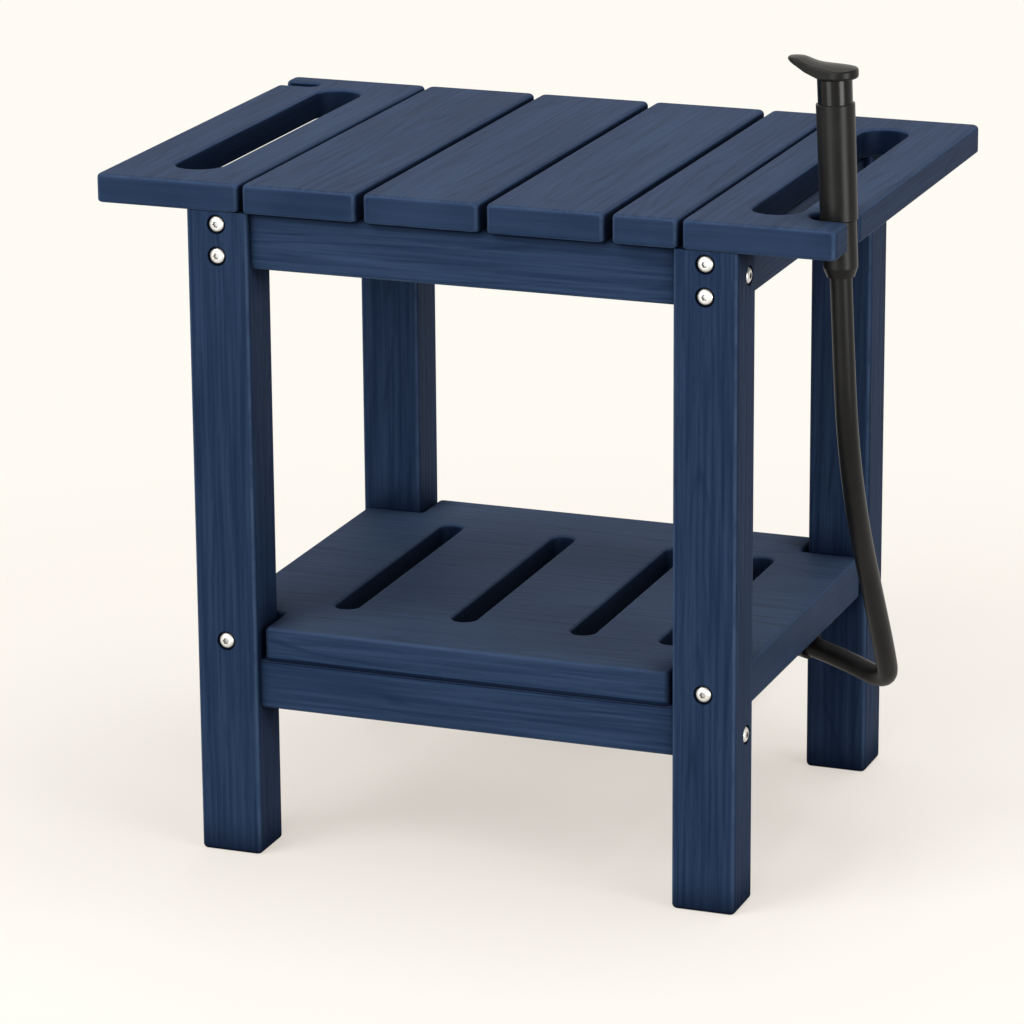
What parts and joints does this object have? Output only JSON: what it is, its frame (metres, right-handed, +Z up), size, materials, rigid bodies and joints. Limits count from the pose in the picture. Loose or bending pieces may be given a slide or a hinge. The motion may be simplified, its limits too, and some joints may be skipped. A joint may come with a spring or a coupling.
{
  "type": "outdoor utility table",
  "caption": "Slatted bench table with handle slots, corner notches and a slotted lower shelf; a hand sprayer on a hose hangs in one notch, lifts out and swivels.",
  "frame": {"origin": "on the floor under the middle of the table top", "axes": "+X along the long front, to the right as seen from the front; +Y to the back; +Z up"},
  "size_m": [0.5024, 0.5253, 0.557],
  "materials": {
    "navy_board": "navy recycled plastic board, matte, embossed wood grain along each board",
    "bolt_steel": "stainless, satin, domed heads with hex sockets",
    "hidden_steel": "zinc plated",
    "black_plastic": "charcoal black, satin",
    "neck_gloss": "black, glossy",
    "face_rubber": "dark, matt, with small nozzles",
    "hose_black": "charcoal black, smooth, soft sheen",
    "tie_rubber": "black strap",
    "seal_rubber": "black",
    "stem_brass": "turned brass",
    "nut_chrome": "polished"
  },
  "bodies": {
    "table": {"end_board_left": "navy_board", "end_board_right": "navy_board", "top_slat_1": "navy_board", "top_slat_2": "navy_board", "top_slat_3": "navy_board", "top_slat_narrow": "navy_board", "leg_front_left": "navy_board", "leg_front_right": "navy_board", "leg_back_left": "navy_board", "leg_back_right": "navy_board", "upper_rail_front": "navy_board", "upper_rail_back": "navy_board", "upper_rail_left": "navy_board", "upper_rail_right": "navy_board", "lower_rail_front": "navy_board", "lower_rail_back": "navy_board", "shelf": "navy_board", "upper_cross_bolts": "bolt_steel", "shelf_cross_bolts": "bolt_steel", "upper_long_bolts": "bolt_steel", "lower_long_bolts": "bolt_steel", "upper_cross_nuts": "hidden_steel", "shelf_cross_nuts": "hidden_steel", "upper_long_nuts": "hidden_steel", "lower_long_nuts": "hidden_steel", "slat_screws": "hidden_steel", "end_board_screws": "hidden_steel", "shelf_screws": "hidden_steel", "hose_clip_screws": "hidden_steel", "hose_clip": "black_plastic", "hose_drop": "hose_black", "hose_tail": "hose_black", "hose_coil": "hose_black", "hose_tie": "tie_rubber", "hose_end_nut": "nut_chrome", "hose_end_washer": "seal_rubber"},
    "hose_end": {"hose_sleeve": "black_plastic", "swivel_stem": "stem_brass", "swivel_seal": "seal_rubber"},
    "handset": {"sprayer_barrel": "black_plastic", "sprayer_neck": "neck_gloss", "sprayer_head": "black_plastic", "spray_face": "face_rubber"}
  },
  "joints": [
    {"name": "handset_lift", "type": "slide", "parent": "table", "child": "hose_end", "axis": [-0.0454, 0, 0.999], "range_m": [0, 0.04], "deforming": ["hose_drop"]},
    {"name": "handset_swivel", "type": "hinge", "parent": "hose_end", "child": "handset", "pos_m": [0.2402, -0.1255, 0.45545], "axis": [-0.0454, 0, 0.999], "continuous": true}
  ]
}
